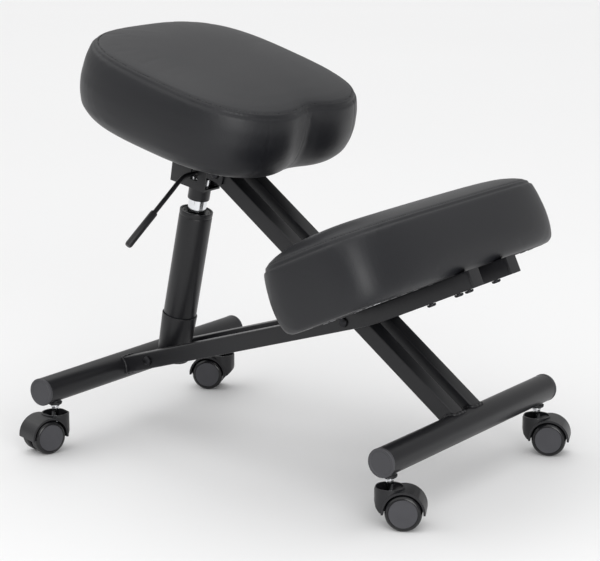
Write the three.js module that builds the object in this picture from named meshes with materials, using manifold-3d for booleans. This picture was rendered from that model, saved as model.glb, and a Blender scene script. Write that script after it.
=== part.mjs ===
import * as THREE from 'three';
import { mergeVertices } from 'three/addons/utils/BufferGeometryUtils.js';
import Module from 'manifold-3d';

const wasm = await Module();
wasm.setup();

// Millimetres. X is across the chair, -Y is the front (knee) end, +Z is up.
const GAP = 0.3;

// Cross tubes
const TUBE_R = 20;
const TUBE_WALL = 2;
const TUBE_Z = 93.3;
const FRONT_TUBE_Y = -292.5;
const REAR_TUBE_Y = 292.5;
const FRONT_TUBE_HALF = 214;
const REAR_TUBE_HALF = 227;
const CAP_T = 5;

// Square section used for the twin bars and the twin rails
const SQ = 25;
const SQ_WALL = 1.8;
const SQ_ROUND = 2.2;
const BAR_X = 49.4;
const RAIL_X = 24;

// Pivots, each given as [y, z]
const LIFT_PIVOT = [230, 112.9];
const FRAME_PIVOT = [-125.7, 226];
const TOP_PIVOT = [115, 407.2];
const BOLT_R = 4;
const TOP_HOLE_R = 5.4;

// Rear bars run through the frame pivot, then kink up into the knee rails
const BAR_KINK = [-169, 239.7];
const KNEE_RAIL_END = [-327.8, 314.3];
const KNEE_TILT = THREE.MathUtils.degToRad(25.2);

// Gas lift, lengths measured along its axis from the lift pivot
const LIFT_LEAN = THREE.MathUtils.degToRad(11.9);
const SOCKET_BOTTOM = -10;
const SOCKET_TOP = 64.5;
const COLUMN_R = 25;
const COLUMN_TOP = 231.8;
const ROD_R = 14;
const ROD_BOTTOM = 100;
const ROD_TOP = 283;
const COLLAR_BOTTOM = 249.5;
const CHANNEL_BOTTOM = 268.9;

// Seat: plane through [y, z], rising to the rear
const SEAT_AT = [151.7, 453.7];
const SEAT_TILT = THREE.MathUtils.degToRad(15);
const BOARD_T = 12;

// Casters
const WHEEL_R = 25;
const WHEEL_T = 18;
const WHEEL_GAP = 9.4;
const TRAIL = 20;
const STEM_R = 5.5;
const FRONT_STEM_X = 197;
const REAR_STEM_X = 201.3;

const finishes = {
  powder: { color: 0x17181a, roughness: 0.45, metalness: 0.3 },
  plastic: { color: 0x141415, roughness: 0.5, metalness: 0.0 },
  chrome: { color: 0xc9ccd0, roughness: 0.12, metalness: 1.0 },
  steel: { color: 0x55585c, roughness: 0.35, metalness: 0.9 },
  leather: { color: 0x1d1e21, roughness: 0.5, metalness: 0.0 },
  wood: { color: 0xb08a5c, roughness: 0.75, metalness: 0.0 },
};

function mesh(name, geometry, finish) {
  const out = new THREE.Mesh(geometry, new THREE.MeshStandardMaterial(finishes[finish]));
  out.name = name;
  return out;
}

function manifold(geometry) {
  const bare = geometry.clone();
  bare.deleteAttribute('normal');
  bare.deleteAttribute('uv');
  const merged = mergeVertices(bare, 1e-4);
  return new wasm.Manifold(new wasm.Mesh({
    numProp: 3,
    vertProperties: new Float32Array(merged.attributes.position.array),
    triVerts: new Uint32Array(merged.index.array),
  }));
}

function geometryOf(solid) {
  const data = solid.getMesh();
  const out = new THREE.BufferGeometry();
  out.setAttribute('position', new THREE.BufferAttribute(new Float32Array(data.vertProperties), 3));
  out.setIndex(new THREE.BufferAttribute(new Uint32Array(data.triVerts), 1));
  out.computeVertexNormals();
  return out;
}

function cut(base, ...tools) {
  let solid = manifold(base);
  for (const tool of tools) solid = solid.subtract(manifold(tool));
  return geometryOf(solid);
}

function join(base, ...others) {
  let solid = manifold(base);
  for (const other of others) solid = solid.add(manifold(other));
  return geometryOf(solid);
}

function cylX(radius, x0, x1, y, z, sides = 24) {
  const out = new THREE.CylinderGeometry(radius, radius, x1 - x0, sides);
  out.rotateZ(-Math.PI / 2);
  out.translate((x0 + x1) / 2, y, z);
  return out;
}

function cylZ(radius, z0, z1, x, y, sides = 24) {
  const out = new THREE.CylinderGeometry(radius, radius, z1 - z0, sides);
  out.rotateX(Math.PI / 2);
  out.translate(x, y, (z0 + z1) / 2);
  return out;
}

function box(x0, x1, y0, y1, z0, z1) {
  const out = new THREE.BoxGeometry(x1 - x0, y1 - y0, z1 - z0);
  out.translate((x0 + x1) / 2, (y0 + y1) / 2, (z0 + z1) / 2);
  return out;
}

// Turned piece: profile is [radius, z] pairs, and the axis is +Z
function turned(profile, sides = 24) {
  const out = new THREE.LatheGeometry(profile.map(([r, z]) => new THREE.Vector2(r, z)), sides);
  out.rotateX(Math.PI / 2);
  return out;
}

// Side profile in [y, z] extruded across X with rounded long edges
function sideExtrude(points, x0, x1, round = 0) {
  const shape = new THREE.Shape(points.map(([y, z]) => new THREE.Vector2(y, z)));
  const out = new THREE.ExtrudeGeometry(shape, {
    depth: x1 - x0 - 2 * round,
    bevelEnabled: round > 0,
    bevelThickness: round,
    bevelSize: round,
    bevelOffset: -round,
    bevelSegments: 2,
  });
  out.applyMatrix4(new THREE.Matrix4().set(0, 0, 1, x0 + round, 1, 0, 0, 0, 0, 1, 0, 0, 0, 0, 0, 1));
  return out;
}

// Outline of a strip of half-height h along a [y, z] centre line
function strip(line, h) {
  const sides = [[], []];
  line.forEach(([y, z], i) => {
    const dirs = [];
    if (i > 0) dirs.push([y - line[i - 1][0], z - line[i - 1][1]]);
    if (i < line.length - 1) dirs.push([line[i + 1][0] - y, line[i + 1][1] - z]);
    const units = dirs.map(([a, b]) => [a / Math.hypot(a, b), b / Math.hypot(a, b)]);
    const sum = units.reduce(([a, b], [c, d]) => [a + c, b + d], [0, 0]);
    const len = Math.hypot(sum[0], sum[1]);
    const n = [-sum[1] / len, sum[0] / len];
    const k = h / (n[0] * -units[0][1] + n[1] * units[0][0]);
    sides[0].push([y + n[0] * k, z + n[1] * k]);
    sides[1].push([y - n[0] * k, z - n[1] * k]);
  });
  return [...sides[1], ...sides[0].reverse()];
}

// Point on the straight line from a to b, extended to the given y
function along(a, b, y) {
  return [y, a[1] + (b[1] - a[1]) * (y - a[0]) / (b[0] - a[0])];
}

const DIAG_SLOPE = 0.755;
function diagAt(y) {
  return [y, FRAME_PIVOT[1] - 0.7 + DIAG_SLOPE * (y - FRAME_PIVOT[0])];
}

function crossTube(name, y, half, stemX) {
  const holes = [];
  for (const side of [-1, 1]) {
    holes.push(cylZ(8.3, TUBE_Z - 40, TUBE_Z, side * stemX, y));
  }
  const bore = cylX(TUBE_R - TUBE_WALL, -half - 5, half + 5, y, TUBE_Z, 32);
  return mesh(name, cut(cylX(TUBE_R, -half, half, y, TUBE_Z, 32), bore, ...holes), 'powder');
}

// End cap: rimmed disc with a plug that enters the tube
function tubeCap(name, y, side, half) {
  const r = TUBE_R - TUBE_WALL - GAP;
  const geometry = turned([
    [0, -8], [r - 1, -8], [r, -7], [r, GAP], [TUBE_R + 0.3, GAP], [TUBE_R + 0.3, CAP_T - 1.5],
    [TUBE_R - 1.2, CAP_T], [TUBE_R - 3.5, CAP_T], [TUBE_R - 4.3, CAP_T - 1], [0, CAP_T - 1],
  ], 28);
  geometry.rotateY(side * Math.PI / 2);
  geometry.translate(side * half, y, TUBE_Z);
  return mesh(name, geometry, 'plastic');
}

// Twin bar of the rear frame, bent up into the knee rail
function rearBar(name, side) {
  const start = along(LIFT_PIVOT, FRAME_PIVOT, REAR_TUBE_Y - 1);
  const line = [start, BAR_KINK, KNEE_RAIL_END];
  const x0 = side * BAR_X - SQ / 2;
  const outer = sideExtrude(strip(line, SQ / 2), x0, x0 + SQ, SQ_ROUND);
  const past = along(BAR_KINK, KNEE_RAIL_END, KNEE_RAIL_END[0] - 20);
  const inner = strip([start, BAR_KINK, past], SQ / 2 - SQ_WALL);
  const tools = [
    sideExtrude(inner, x0 + SQ_WALL, x0 + SQ - SQ_WALL),
    cylX(TUBE_R + GAP, x0 - 5, x0 + SQ + 5, REAR_TUBE_Y, TUBE_Z, 32),
    cylX(BOLT_R + GAP, x0 - 5, x0 + SQ + 5, ...LIFT_PIVOT, 16),
    cylX(BOLT_R + GAP, x0 - 5, x0 + SQ + 5, ...FRAME_PIVOT, 16),
  ];
  for (const [y, z] of kneeBoltSpots()) tools.push(kneeTool(y, z, side * BAR_X));
  return mesh(name, cut(outer, ...tools), 'powder');
}

// Points on the knee rail centre line where the board bolts pass
function kneeBoltSpots() {
  return [-256, -299].map((y) => along(BAR_KINK, KNEE_RAIL_END, y));
}

function kneeTool(y, z, x) {
  const out = new THREE.CylinderGeometry(3.3, 3.3, 60, 12);
  out.rotateX(Math.PI / 2 - KNEE_TILT);
  out.translate(x, y, z);
  return out;
}

function kneeBolt(name, x, [y, z]) {
  const geometry = turned([
    [0, -16.6], [4.5, -16.6], [6.3, -15.4], [6.5, -SQ / 2 - GAP], [3, -SQ / 2 - GAP], [3, 20], [0, 20],
  ], 12);
  geometry.rotateX(-KNEE_TILT);
  geometry.translate(x, y, z);
  return mesh(name, geometry, 'steel');
}

function railPlug(name, side) {
  const geometry = join(
    box(-SQ / 2, SQ / 2, -4, -GAP, -SQ / 2, SQ / 2),
    box(-9.8, 9.8, -1, 14, -9.8, 9.8),
  );
  geometry.rotateX(-KNEE_TILT);
  geometry.translate(side * BAR_X, ...KNEE_RAIL_END);
  return mesh(name, geometry, 'plastic');
}

// Through bolt with a domed head on the -X side and a nut on the +X side
function crossBolt(name, reach, [y, z]) {
  const r = BOLT_R;
  const geometry = turned([
    [0, -reach - 5.2], [3.4, -reach - 5.2], [6.4, -reach - 3.4], [7.6, -reach - GAP], [r, -reach - GAP],
    [r, reach + GAP], [7, reach + GAP], [7, reach + 6.5], [r, reach + 6.5], [r, reach + 9], [0, reach + 9],
  ], 16);
  geometry.rotateY(Math.PI / 2);
  geometry.translate(0, y, z);
  return mesh(name, geometry, 'steel');
}

function loft(rings) {
  const count = rings[0].length;
  const verts = [];
  const index = [];
  for (const ring of rings) for (const p of ring) verts.push(...p);
  for (let k = 0; k < rings.length - 1; k += 1) {
    for (let i = 0; i < count; i += 1) {
      const a = k * count + i;
      const b = k * count + (i + 1) % count;
      index.push(a, b, b + count, a, b + count, a + count);
    }
  }
  const ends = [[0, -1], [rings.length - 1, 1]];
  for (const [k, up] of ends) {
    const ring = rings[k];
    const mid = [0, 1, 2].map((axis) => ring.reduce((sum, p) => sum + p[axis], 0) / count);
    verts.push(...mid);
    const centre = verts.length / 3 - 1;
    for (let i = 0; i < count; i += 1) {
      const a = k * count + i;
      const b = k * count + (i + 1) % count;
      if (up > 0) index.push(a, b, centre);
      else index.push(b, a, centre);
    }
  }
  const out = new THREE.BufferGeometry();
  out.setAttribute('position', new THREE.Float32BufferAttribute(verts, 3));
  out.setIndex(index);
  out.computeVertexNormals();
  return out;
}

const power = (v, p) => Math.sign(v) * Math.abs(v) ** p;

// Ring of a rounded outline, y positive to the rear
function ring(halfX, halfY, square, lift, warp, count = 48) {
  const out = [];
  for (let i = 0; i < count; i += 1) {
    const t = i / count * 2 * Math.PI;
    const x = power(Math.cos(t), 2 / square) * halfX;
    const y = power(Math.sin(t), 2 / square) * halfY;
    out.push(warp(x, y, lift));
  }
  return out;
}

// Seat outline: two front lobes with a hollow between, rear edge round, thicker to the rear
const SEAT = { halfX: 178, halfY: 173, square: 3.05, seam: 108, crown: 15, wedge: 0.04, inset: 36 };
function seatWarp(x, y, z) {
  const front = Math.max(0, -y / SEAT.halfY);
  const dip = 17 * front ** 3 * Math.exp(-((x / 46) ** 2));
  const narrow = 1 - 0.02 * front ** 2;
  const lift = z + Math.max(0, z - 20) * SEAT.wedge * y / SEAT.seam;
  return [x * narrow, y + dip, lift];
}

// Cushion over its board, with a pocket below that the board fills
function cushion(dims, warp, levels, shift, reliefs) {
  const rings = levels.map(([off, z, sx = 1, sy = 1]) => (
    ring((dims.halfX + off) * sx, (dims.halfY + off) * sy, dims.square, z, warp)
  ));
  const inset = dims.inset - 2 * GAP;
  const pocket = [-2, BOARD_T + 2 * GAP].map((z) => (
    ring(dims.halfX - inset, dims.halfY - inset - shift, dims.square, 0, warp, 40)
      .map(([x, y]) => [x, y - shift, z])
  ));
  return cut(loft(rings), loft(pocket), ...reliefs);
}

function seatCushion() {
  const { seam, crown } = SEAT;
  return cushion(SEAT, seatWarp, [
    [-25, 1], [-10, 10], [0, 22], [5, 40], [6.8, 58], [5, 84], [0, seam - 3], [-3, seam],
    [0, seam + crown * 0.45, 0.88, 0.88], [0, seam + crown * 0.85, 0.6, 0.6], [0, seam + crown, 0.25, 0.25],
  ], 0, []);
}

const KNEE = { halfX: 250, halfY: 102, square: 4.5, seam: 94, crown: 22, inset: 12, shift: 17 };
const keepPoint = (x, y, z) => [x, y, z];
function kneeCushion() {
  const { seam, crown } = KNEE;
  const reliefs = [-1, 1].map((side) => (
    box(side * BAR_X - SQ / 2 - 1, side * BAR_X + SQ / 2 + 1, 50, 120, -2, 6.4)
  ));
  return cushion(KNEE, keepPoint, [
    [-6, 3.5], [-2, 11], [1, 22], [4.8, 47], [3, 72], [0, seam - 3], [-3, seam],
    [0, seam + crown * 0.5, 0.93, 0.8], [0, seam + crown * 0.85, 0.8, 0.55], [0, seam + crown, 0.5, 0.2],
  ], KNEE.shift, reliefs);
}

function board(dims, warp, shift, holes) {
  const level = (z) => (
    ring(dims.halfX - dims.inset, dims.halfY - dims.inset - shift, dims.square, 0, warp, 40)
      .map(([x, y]) => [x, y - shift, z])
  );
  return cut(loft([level(GAP), level(GAP + BOARD_T)]), ...holes);
}

function inGroup(name, children, x, y, z, tilt) {
  const group = new THREE.Group();
  group.name = name;
  group.position.set(x, y, z);
  group.rotation.x = tilt;
  group.add(...children);
  return group;
}

// Knee pad: its plane lies on the top faces of the knee rails
function kneePad() {
  const normal = [Math.sin(KNEE_TILT), Math.cos(KNEE_TILT)];
  const mid = along(BAR_KINK, KNEE_RAIL_END, -227);
  const at = [mid[0] + normal[0] * SQ / 2, mid[1] + normal[1] * SQ / 2];
  const holes = [];
  for (const side of [-1, 1]) {
    for (const [y] of kneeBoltSpots()) {
      const off = (y - mid[0]) / Math.cos(KNEE_TILT);
      holes.push(cylZ(3.3, -2, BOARD_T - 3, side * BAR_X, off, 12));
    }
  }
  return inGroup('knee_pad', [
    mesh('knee_board', board(KNEE, keepPoint, KNEE.shift, holes), 'wood'),
    mesh('knee_cushion', kneeCushion(), 'leather'),
  ], 0, at[0], at[1], -KNEE_TILT);
}

function rearFrame() {
  const parts = [crossTube('rear_cross_tube', REAR_TUBE_Y, REAR_TUBE_HALF, REAR_STEM_X)];
  const sides = [[-1, 'left'], [1, 'right']];
  for (const [side, word] of sides) {
    parts.push(tubeCap(`rear_cap_${word}`, REAR_TUBE_Y, side, REAR_TUBE_HALF));
    parts.push(rearBar(`bar_${word}`, side));
    parts.push(railPlug(`knee_rail_plug_${word}`, side));
    kneeBoltSpots().forEach((spot, i) => {
      parts.push(kneeBolt(`knee_bolt_${word}_${i + 1}`, side * BAR_X, spot));
    });
  }
  parts.push(crossBolt('lift_pivot_bolt', BAR_X + SQ / 2, LIFT_PIVOT));
  parts.push(crossBolt('frame_pivot_bolt', BAR_X + SQ / 2, FRAME_PIVOT));
  parts.push(kneePad());
  return parts;
}

// Diagonal rail of the front frame
function rail(name, side) {
  const x0 = side * RAIL_X - SQ / 2;
  const line = [diagAt(FRONT_TUBE_Y + 2.5), diagAt(TOP_PIVOT[0] + 12)];
  const inner = [line[0], diagAt(TOP_PIVOT[0] + 30)];
  const outer = sideExtrude(strip(line, SQ / 2), x0, x0 + SQ, SQ_ROUND);
  return mesh(name, cut(
    outer,
    sideExtrude(strip(inner, SQ / 2 - SQ_WALL), x0 + SQ_WALL, x0 + SQ - SQ_WALL),
    cylX(TUBE_R + GAP, x0 - 5, x0 + SQ + 5, FRONT_TUBE_Y, TUBE_Z, 32),
    cylX(BOLT_R + GAP, x0 - 5, x0 + SQ + 5, ...FRAME_PIVOT, 16),
    cylX(TOP_HOLE_R, x0 - 5, x0 + SQ + 5, ...TOP_PIVOT, 20),
    railBoltShape(side, 3.3, 6, 2),
  ), 'powder');
}

// Screw on a rail's top face just in front of the frame pivot
function railBoltShape(side, shank, head, above) {
  const geometry = turned([
    [0, -8], [shank, -8], [shank, SQ / 2 + GAP], [head, SQ / 2 + GAP], [head, SQ / 2 + 1.6],
    [head * 0.6, SQ / 2 + 3.4 + above], [0, SQ / 2 + 3.4 + above],
  ], 12);
  geometry.rotateX(Math.atan(DIAG_SLOPE));
  geometry.translate(side * RAIL_X, ...diagAt(-135));
  return geometry;
}

function frontFrame() {
  const parts = [crossTube('front_cross_tube', FRONT_TUBE_Y, FRONT_TUBE_HALF, FRONT_STEM_X)];
  const sides = [[-1, 'left'], [1, 'right']];
  for (const [side, word] of sides) {
    parts.push(tubeCap(`front_cap_${word}`, FRONT_TUBE_Y, side, FRONT_TUBE_HALF));
    parts.push(rail(`rail_${word}`, side));
    parts.push(mesh(`rail_bolt_${word}`, railBoltShape(side, 3, 5.5, 0), 'steel'));
  }
  return parts;
}

// Gas lift: group axis +Z is the lift's axis, origin at the lift pivot
function gasLift() {
  const socket = cut(turned([
    [0, SOCKET_BOTTOM], [23.4, SOCKET_BOTTOM], [24.5, SOCKET_BOTTOM + 1.5], [26.7, SOCKET_TOP - 1],
    [26.3, SOCKET_TOP], [24.6, SOCKET_TOP], [22.6, 7], [0, 7],
  ], 28), cylX(BOLT_R + GAP, -40, 40, 0, 0, 16));
  const column = turned([
    [19.5, 8], [22, 8], [24.2, SOCKET_TOP], [COLUMN_R, SOCKET_TOP + 1.5], [COLUMN_R, COLUMN_TOP - 1.5],
    [COLUMN_R - 1.5, COLUMN_TOP], [22.3, COLUMN_TOP], [22.3, SOCKET_TOP], [19.5, 8],
  ], 28);
  const bush = turned([
    [ROD_R + 0.25, COLUMN_TOP - 24], [22, COLUMN_TOP - 24], [22, COLUMN_TOP - 1.5], [20.5, COLUMN_TOP - 1],
    [17.5, COLUMN_TOP - 4.5], [ROD_R + 0.25, COLUMN_TOP - 4.5], [ROD_R + 0.25, COLUMN_TOP - 24],
  ], 28);
  const rod = turned([
    [0, ROD_BOTTOM], [ROD_R - 1, ROD_BOTTOM], [ROD_R, ROD_BOTTOM + 1], [ROD_R, COLLAR_BOTTOM + 3],
    [ROD_R - 0.8, ROD_TOP], [4.1, ROD_TOP], [4.1, ROD_TOP - 12], [0, ROD_TOP - 12],
  ], 28);
  const pin = turned([[0, ROD_TOP - 7], [3.6, ROD_TOP - 7], [3.6, ROD_TOP + 5], [0, ROD_TOP + 5]], 12);
  return inGroup('gas_lift', [
    mesh('lift_socket', socket, 'powder'),
    mesh('lift_column', column, 'powder'),
    mesh('lift_bush', bush, 'plastic'),
    mesh('lift_rod', rod, 'chrome'),
    mesh('release_pin', pin, 'steel'),
    mesh('lift_channel', liftChannel(), 'powder'),
    mesh('lever_rod', leverRod(), 'powder'),
    mesh('lever_sleeve', leverSleeve(), 'plastic'),
  ], 0, ...LIFT_PIVOT, LIFT_LEAN);
}

// Turns a chair [y, z] point into the gas lift group's own [y, z]
function toLift([y, z]) {
  const a = y - LIFT_PIVOT[0];
  const b = z - LIFT_PIVOT[1];
  const c = Math.cos(LIFT_LEAN);
  const s = Math.sin(LIFT_LEAN);
  return [a * c + b * s, b * c - a * s];
}

// Point on the seat's lower plane, offset along its normal
function seatPlane(y, off) {
  const c = Math.cos(SEAT_TILT);
  const s = Math.sin(SEAT_TILT);
  return [SEAT_AT[0] + y * c - off * s, SEAT_AT[1] + y * s + off * c];
}

// U channel with a collar for the rod, open side up against the seat plate
function liftChannel() {
  const low = CHANNEL_BOTTOM;
  const front = toLift(seatPlane(-14, -4.3));
  const rear = toLift(seatPlane(52, -4.3));
  const side = [[-21, low], [42, low], rear, front];
  const solid = sideExtrude(side, -20, 20);
  const hollow = sideExtrude([[-40, low + 3], [60, low + 3], [60, low + 140], [-40, low + 140]], -17, 17);
  const collar = turned([
    [0, COLLAR_BOTTOM], [15.6, COLLAR_BOTTOM], [16.5, COLLAR_BOTTOM + 1], [16.5, low + 2], [0, low + 2],
  ], 28);
  const bore = cylZ(ROD_R + GAP, COLLAR_BOTTOM - 2, low + 8, 0, 0, 28);
  const slot = box(-30, 0, -6.5, 6.5, ROD_TOP - 1, ROD_TOP + 22);
  let out = manifold(solid).subtract(manifold(hollow)).add(manifold(collar));
  out = out.subtract(manifold(bore)).subtract(manifold(slot));
  return geometryOf(out);
}

const LEVER_Z = ROD_TOP + 9;
const LEVER_DROP = THREE.MathUtils.degToRad(40);
function leverPoint(length) {
  return new THREE.Vector3(-46 - length * Math.cos(LEVER_DROP), 0, LEVER_Z - length * Math.sin(LEVER_DROP));
}

function sweep(points, radius, sides, steps) {
  const disc = new THREE.Shape();
  for (let i = 0; i < sides; i += 1) {
    const t = (i + 0.5) / sides * 2 * Math.PI;
    if (i === 0) disc.moveTo(radius * Math.cos(t), radius * Math.sin(t));
    else disc.lineTo(radius * Math.cos(t), radius * Math.sin(t));
  }
  disc.closePath();
  const path = new THREE.CatmullRomCurve3(points, false, 'chordal', 0.5);
  return new THREE.ExtrudeGeometry(disc, { steps, extrudePath: path, bevelEnabled: false });
}

function leverRod() {
  return sweep([
    new THREE.Vector3(9, 0, LEVER_Z), new THREE.Vector3(-16, 0, LEVER_Z), new THREE.Vector3(-38, 0, LEVER_Z),
    leverPoint(9), leverPoint(36), leverPoint(124),
  ], 3.5, 8, 20);
}

function leverSleeve() {
  const profile = [
    [3.9, 0], [5.2, 0], [5.6, 1.5], [5.6, 63], [4.6, 66], [0, 66], [0, 52], [3.9, 52], [3.9, 0],
  ];
  const out = turned(profile, 16);
  out.rotateY(-Math.PI / 2 - LEVER_DROP);
  const at = leverPoint(73);
  out.translate(at.x, at.y, at.z);
  return out;
}

// Seat: group plane is the underside of the board
function seat() {
  const pin = [TOP_PIVOT[0] - SEAT_AT[0], TOP_PIVOT[1] - SEAT_AT[1]];
  const c = Math.cos(SEAT_TILT);
  const s = Math.sin(SEAT_TILT);
  const py = pin[0] * c + pin[1] * s;
  const pz = pin[1] * c - pin[0] * s;
  const plate = box(-75, 75, -68, 62, -3 - GAP, -GAP);
  const ears = manifold(box(-40.2, 40.2, py - 14, py + 14, pz - 12, -3 - 2 * GAP))
    .subtract(manifold(box(-37.2, 37.2, py - 20, py + 20, pz - 20, -6 - 2 * GAP)))
    .subtract(manifold(cylX(BOLT_R + GAP, -60, 60, py, pz, 16)));
  return inGroup('seat', [
    mesh('seat_plate', plate, 'powder'),
    mesh('top_bracket', geometryOf(ears), 'powder'),
    mesh('seat_board', board(SEAT, seatWarp, 0, []), 'wood'),
    mesh('seat_cushion', seatCushion(), 'leather'),
  ], 0, ...SEAT_AT, SEAT_TILT);
}

const WHEEL_TURN = Math.PI / 24;

// Wheel with its axle along X; one facet faces straight down
function wheelShape(side) {
  const r = WHEEL_R / Math.cos(WHEEL_TURN);
  const w = WHEEL_T;
  const profile = [
    [3.3, 0], [r - 2.5, 0], [r, 2.2], [r, w - 4], [r - 3.4, w - 0.6], [r - 5, w], [r - 6.4, w - 1.2],
    [0, w - 1.2], [0, w - 4], [3.3, w - 4], [3.3, 0],
  ];
  const out = turned(profile, 24);
  out.rotateZ(WHEEL_TURN);
  out.rotateY(side * Math.PI / 2);
  out.translate(side * WHEEL_GAP / 2, 0, 0);
  return out;
}

// Hood: cover over both wheels with an open cup for the stem; the wheel axis is the origin
function hoodShape() {
  const cover = [[0, 0]];
  for (let i = 0; i <= 12; i += 1) {
    const t = THREE.MathUtils.degToRad(-6 + i * 15.75);
    cover.push([29.6 * Math.cos(t), 29.6 * Math.sin(t)]);
  }
  const drop = [[-4, 31], [40.2, 31], [40.2, 12], [37.5, 4], [32, -1.5], [25, -3], [0, 0]];
  const web = [[16, -7], [20, 6], [-20, 6], [-16, -7], [-8, -13], [8, -13]];
  const cup = manifold(sideExtrude(drop, -21.5, 21.5)).intersect(manifold(cylZ(20.3, -20, 40, 0, TRAIL, 24)));
  const hollow = manifold(cylZ(18, 7, 50, 0, TRAIL, 24))
    .subtract(manifold(cylX(29, -30, 30, 0, 0, 24)))
    .subtract(manifold(cylZ(8.4, 0, 22, 0, TRAIL, 16)));
  let out = manifold(sideExtrude(cover, -21, 21, 2)).add(cup).add(manifold(sideExtrude(web, -4.2, 4.2)));
  for (const side of [-1, 1]) {
    out = out.subtract(manifold(cylX(26.6, side * 14.2 - 10, side * 14.2 + 10, 0, 0, 24)));
  }
  out = out.subtract(hollow);
  out = out.subtract(manifold(cylX(3.3, -30, 30, 0, 0, 12)));
  out = out.subtract(manifold(cylZ(STEM_R + GAP, 14, 60, 0, TRAIL, 16)));
  return geometryOf(out);
}

// Caster: turned about its stem so the wheels trail in the given direction
function caster(word, x, y, trailDeg) {
  const stemTop = TUBE_Z - WHEEL_R - 4;
  const stem = turned([
    [0, 15], [STEM_R, 15], [STEM_R, 40.5], [6.6, 40.5], [6.6, 42], [STEM_R, 42], [STEM_R, stemTop],
    [0, stemTop + 1.5],
  ], 16);
  stem.translate(0, TRAIL, 0);
  const group = new THREE.Group();
  group.name = `caster_${word}`;
  const turn = THREE.MathUtils.degToRad(trailDeg);
  group.rotation.z = turn;
  group.position.set(x + TRAIL * Math.sin(turn), y - TRAIL * Math.cos(turn), WHEEL_R);
  group.add(
    mesh(`caster_${word}_hood`, hoodShape(), 'plastic'),
    mesh(`caster_${word}_stem`, stem, 'chrome'),
    mesh(`caster_${word}_axle`, cylX(3, -16.5, 16.5, 0, 0, 12), 'steel'),
    mesh(`caster_${word}_wheel_a`, wheelShape(-1), 'plastic'),
    mesh(`caster_${word}_wheel_b`, wheelShape(1), 'plastic'),
  );
  return group;
}

// Stepped insert that holds a caster stem in the tube
function stemInsert(word, x, y) {
  const z = TUBE_Z - TUBE_R;
  const geometry = turned([
    [STEM_R + 0.2, z - 4.5], [9.5, z - 4.5], [10.5, z - 3], [10.5, z - 0.8], [8, z - 0.8], [8, z + 14],
    [STEM_R + 0.2, z + 14], [STEM_R + 0.2, z - 4.5],
  ], 20);
  geometry.translate(x, y, 0);
  return mesh(`caster_${word}_insert`, geometry, 'plastic');
}

const chair = new THREE.Group();
chair.name = 'kneeling_chair';
chair.add(...rearFrame(), ...frontFrame(), gasLift(), seat());
chair.add(crossBoltTop());
const corners = [
  ['front_left', -FRONT_STEM_X, FRONT_TUBE_Y, 28],
  ['front_right', FRONT_STEM_X, FRONT_TUBE_Y, 24],
  ['rear_left', -REAR_STEM_X, REAR_TUBE_Y, 252],
  ['rear_right', REAR_STEM_X, REAR_TUBE_Y, 205],
];
for (const [word, x, y, trail] of corners) chair.add(caster(word, x, y, trail), stemInsert(word, x, y));

function crossBoltTop() {
  return crossBolt('top_pivot_bolt', 40.2, TOP_PIVOT);
}

export default chair;
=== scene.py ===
import math

import bmesh
import bpy
from mathutils import Matrix, Vector
from mathutils.bvhtree import BVHTree
from mathutils.kdtree import KDTree


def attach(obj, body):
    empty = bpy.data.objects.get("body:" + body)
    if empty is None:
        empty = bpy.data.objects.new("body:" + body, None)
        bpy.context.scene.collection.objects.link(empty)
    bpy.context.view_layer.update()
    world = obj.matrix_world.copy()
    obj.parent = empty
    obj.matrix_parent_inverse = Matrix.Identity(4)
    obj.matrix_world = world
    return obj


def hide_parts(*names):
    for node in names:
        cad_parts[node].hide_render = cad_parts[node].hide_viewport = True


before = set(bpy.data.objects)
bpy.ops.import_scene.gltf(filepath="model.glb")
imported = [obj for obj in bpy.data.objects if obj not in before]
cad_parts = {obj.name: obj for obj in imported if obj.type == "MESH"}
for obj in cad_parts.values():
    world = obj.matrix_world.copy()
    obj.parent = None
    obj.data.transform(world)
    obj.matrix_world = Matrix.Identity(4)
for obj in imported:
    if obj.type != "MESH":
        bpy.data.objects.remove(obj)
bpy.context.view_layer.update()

bl_info = {
    "name": "Kneeling Massage Chair",
    "version": (1, 0, 0),
    "blender": (4, 5, 0),
    "location": "View3D > Sidebar > Kneeling Chair",
    "description": "Builds the pads, frame, gas lift and casters of a kneeling massage chair",
    "category": "Add Mesh",
}

# Sizes in millimetres unless said otherwise; Y and Z places are those of the frame.
MM = 0.001
HERE = Matrix.Identity(4)
TUBE_R = 20.0
TUBE_Z = 93.3
FRONT_TUBE_Y = -292.5
REAR_TUBE_Y = 292.5
FRONT_TUBE_HALF = 214.0
REAR_TUBE_HALF = 227.0
CAP_T = 5.0
SQ = 25.0
SQ_CORNER = 2.4
BEND_REACH = 24.0
BAR_X = 49.4
RAIL_X = 24.0
LIFT_PIVOT = (230.0, 112.9)
FRAME_PIVOT = (-125.7, 226.0)
TOP_PIVOT = (115.0, 407.2)
BAR_KINK = (-169.0, 239.7)
KNEE_RAIL_END = (-327.8, 314.3)
KNEE_TILT = math.radians(25.2)
LIFT_LEAN = math.radians(11.9)
DIAG_SLOPE = 0.755
SOCKET_BOTTOM = -10.0
SOCKET_TOP = 64.5
COLUMN_R = 25.0
COLUMN_TOP = 231.8
ROD_R = 14.0
ROD_BOTTOM = 100.0
ROD_TOP = 283.0
COLLAR_BOTTOM = 249.5
SEAT_AT = (151.7, 453.7)
SEAT_TILT = math.radians(15)
LEVER_Z = ROD_TOP + 9
LEVER_DROP = math.radians(40)
WHEEL_R = 25.0
WHEEL_T = 18.0
WHEEL_GAP = 9.4
TRAIL = 20.0
STEM_R = 5.5
CASTERS = (
    ("front_left", -197.0, FRONT_TUBE_Y, 28.0),
    ("front_right", 197.0, FRONT_TUBE_Y, 24.0),
    ("rear_left", -201.3, REAR_TUBE_Y, 252.0),
    ("rear_right", 201.3, REAR_TUBE_Y, 205.0),
)
TURNS_FINE = 72

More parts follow.
